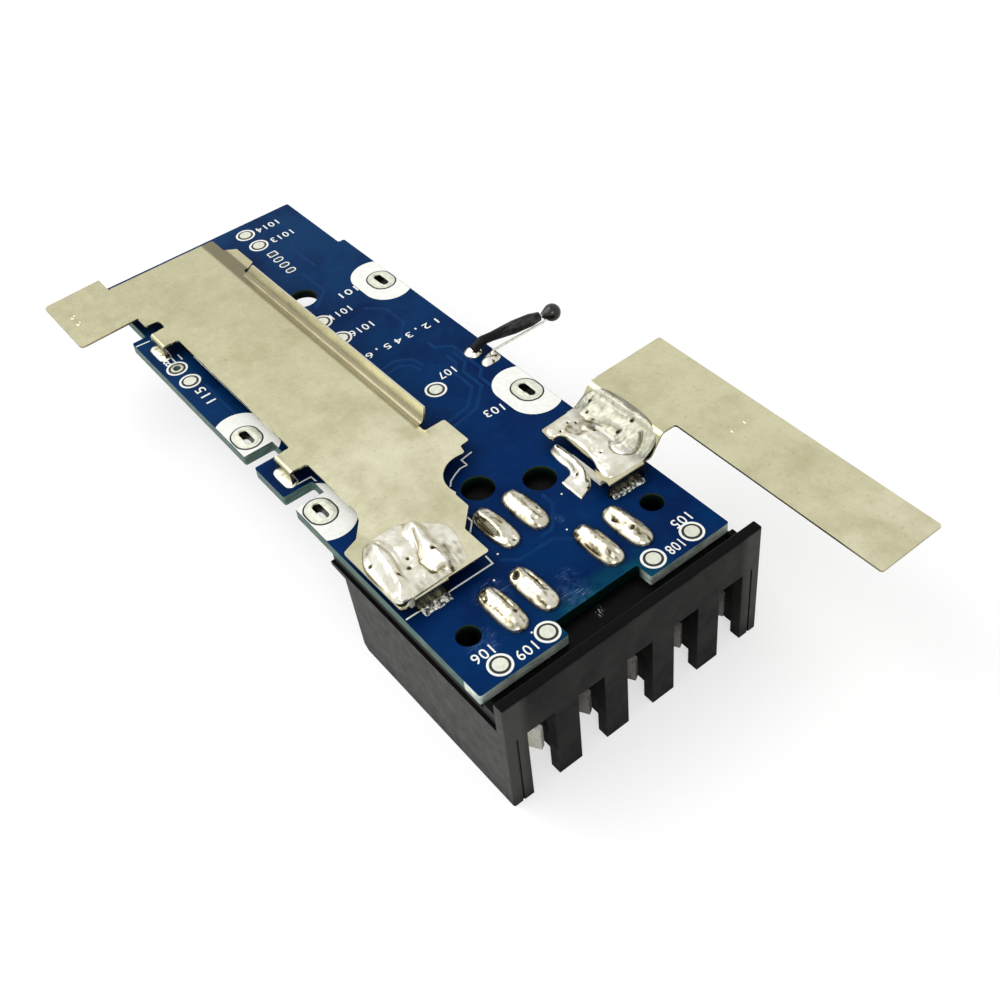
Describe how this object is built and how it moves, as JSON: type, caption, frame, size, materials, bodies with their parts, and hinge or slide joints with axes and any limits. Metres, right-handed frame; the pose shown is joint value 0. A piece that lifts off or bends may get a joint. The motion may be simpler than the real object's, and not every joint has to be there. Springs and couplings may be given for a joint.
{
  "type": "battery management board",
  "caption": "Battery management board of a slide-on tool battery: blue circuit board on a black slotted terminal housing, with a nickel bus plate, a side strip and a thermistor.",
  "frame": {"origin": "midway between the two screw holes, on the upper face of the circuit board", "axes": "+Y along the board, from the terminal housing towards the far end; +Z out of the upper face, away from the housing; +X across the board, towards the side strip"},
  "size_m": [0.062, 0.1265, 0.0219],
  "materials": {
    "blue_board": "glossy solder mask",
    "black_housing": "satin moulded nylon",
    "contact_metal": "tin plated",
    "nickel_sheet": "rolled nickel, satin",
    "solder": "bright, uneven",
    "tinned_pads": "tinned",
    "black_glaze": "glossy epoxy",
    "black_sleeve": "satin",
    "tinned_wire": "tinned",
    "chip_plastic": "matt moulding compound",
    "tan_ceramic": "fired ceramic"
  },
  "bodies": {
    "root": {"circuit_board": "blue_board", "terminal_housing": "black_housing", "left_power_contact": "contact_metal", "left_signal_contact": "contact_metal", "middle_signal_contact": "contact_metal", "right_signal_contact": "contact_metal", "right_power_contact": "contact_metal", "bus_plate": "nickel_sheet", "side_strip": "nickel_sheet", "contact_solder_joints": "solder", "bus_plate_solder": "solder", "side_strip_solder": "solder", "side_pad_solder": "solder", "leg_solder_fillets": "solder", "test_pads": "tinned_pads", "jumper_pads": "tinned_pads", "tap_eyelets": "tinned_pads", "thermistor_bead": "black_glaze", "thermistor_sleeve": "black_sleeve", "thermistor_wires": "tinned_wire", "thermistor_solder": "solder", "transistor_bodies": "chip_plastic", "transistor_tabs": "tinned_wire", "transistor_leads": "tinned_wire", "controller_body": "chip_plastic", "controller_leads": "tinned_wire", "monitor_body": "chip_plastic", "monitor_leads": "tinned_wire", "shunt_resistor": "chip_plastic", "shunt_terminals": "tinned_wire", "capacitor_bodies": "tan_ceramic", "capacitor_ends": "tinned_wire", "resistor_bodies": "chip_plastic", "resistor_ends": "tinned_wire", "diode_bodies": "chip_plastic", "diode_ends": "tinned_wire"}
  },
  "joints": []
}
